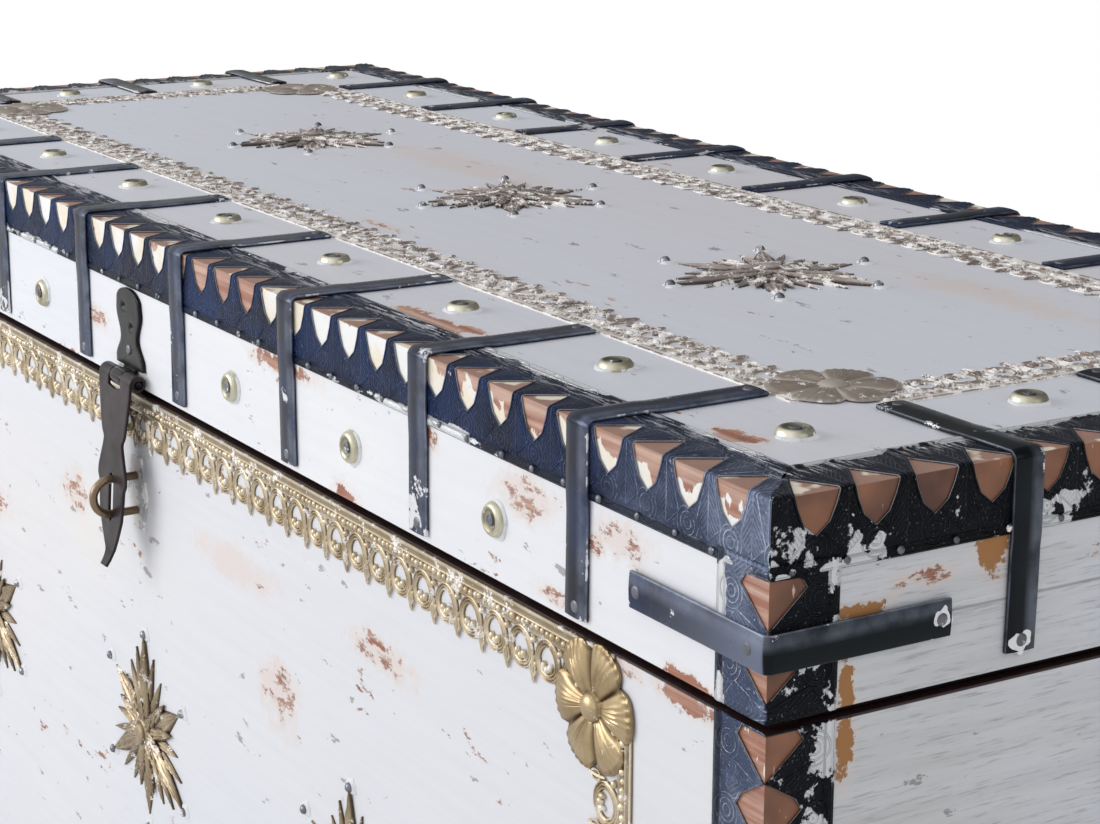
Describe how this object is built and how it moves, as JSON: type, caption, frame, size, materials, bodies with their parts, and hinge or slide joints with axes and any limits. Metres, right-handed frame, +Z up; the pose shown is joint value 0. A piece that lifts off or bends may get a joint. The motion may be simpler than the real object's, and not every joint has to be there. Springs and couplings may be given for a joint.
{
  "type": "dowry chest",
  "caption": "Long wooden dowry chest with a flat hinged lid, pressed metal edging, iron straps, brass trim, a front hasp and two drop handles.",
  "frame": {"origin": "on the floor, under the middle of the whole outline, 11 mm in front of the case's middle", "axes": "+X along the chest to its right end, -Y out of the front with the hasp, +Z up"},
  "size_m": [1.391, 0.5659, 0.6332],
  "materials": {
    "painted_wood": "worn white paint",
    "bare_wood": "bare, oiled",
    "maroon_wood": "worn dark red paint",
    "pressed_sheet": "embossed, dark navy lacquer",
    "black_iron": "glossy black",
    "brown_iron": "dark brown",
    "bronze_iron": "worn bright on top",
    "pressed_brass": "pressed, aged",
    "antique_brass": "pressed, dark aged",
    "stud_brass": "domed, pale",
    "steel_nails": "hammered"
  },
  "bodies": {
    "chest": {"front_wall": "painted_wood", "back_wall": "painted_wood", "right_wall": "painted_wood", "left_wall": "painted_wood", "floor_boards": "bare_wood", "floor_cleats": "bare_wood", "feet": "painted_wood", "rim_mouldings": "maroon_wood", "lid_lips": "bare_wood", "body_corner_sheets": "pressed_sheet", "body_corner_brackets": "black_iron", "front_border": "pressed_brass", "front_rosettes": "pressed_brass", "front_stars": "antique_brass", "staple": "bronze_iron", "staple_plate": "brown_iron", "body_hinge_leaves": "black_iron", "hinge_pins": "brown_iron", "right_handle_plates": "black_iron", "left_handle_plates": "black_iron"},
    "right_handle": {"right_bail": "black_iron"},
    "left_handle": {"left_bail": "black_iron"},
    "lid": {"lid_top_boards": "painted_wood", "lid_front_skirt": "painted_wood", "lid_back_skirt": "painted_wood", "lid_right_skirt": "painted_wood", "lid_left_skirt": "painted_wood", "lid_battens": "bare_wood", "lid_front_strip": "pressed_sheet", "lid_back_strip": "pressed_sheet", "lid_right_strip": "pressed_sheet", "lid_left_strip": "pressed_sheet", "lid_corner_sheets": "pressed_sheet", "lid_front_straps": "black_iron", "lid_back_straps": "black_iron", "lid_right_straps": "black_iron", "lid_left_straps": "black_iron", "strap_nails": "steel_nails", "lid_corner_brackets": "black_iron", "lid_bracket_nails": "steel_nails", "lid_top_studs": "stud_brass", "lid_front_studs": "stud_brass", "lid_border": "pressed_brass", "lid_rosettes": "pressed_brass", "lid_stars": "antique_brass", "lid_hinge_leaves": "black_iron", "hasp_plate": "brown_iron", "hasp_pin": "brown_iron"},
    "hasp": {"hasp_leaf": "brown_iron"}
  },
  "joints": [
    {"name": "lid_hinge", "type": "hinge", "parent": "chest", "child": "lid", "pos_m": [0, 0.2775, 0.5245], "axis": [-1, 0, 0], "range_deg": [0, 100]},
    {"name": "hasp_hinge", "type": "hinge", "parent": "lid", "child": "hasp", "pos_m": [0, -0.257, 0.532], "axis": [-1, 0, 0], "range_deg": [0, 160]},
    {"name": "right_handle_hinge", "type": "hinge", "parent": "chest", "child": "right_handle", "pos_m": [0.6875, 0.011, 0.34264], "axis": [0, -1, 0], "range_deg": [0, 160]},
    {"name": "left_handle_hinge", "type": "hinge", "parent": "chest", "child": "left_handle", "pos_m": [-0.6875, 0.011, 0.34264], "axis": [0, 1, 0], "range_deg": [0, 160]}
  ]
}
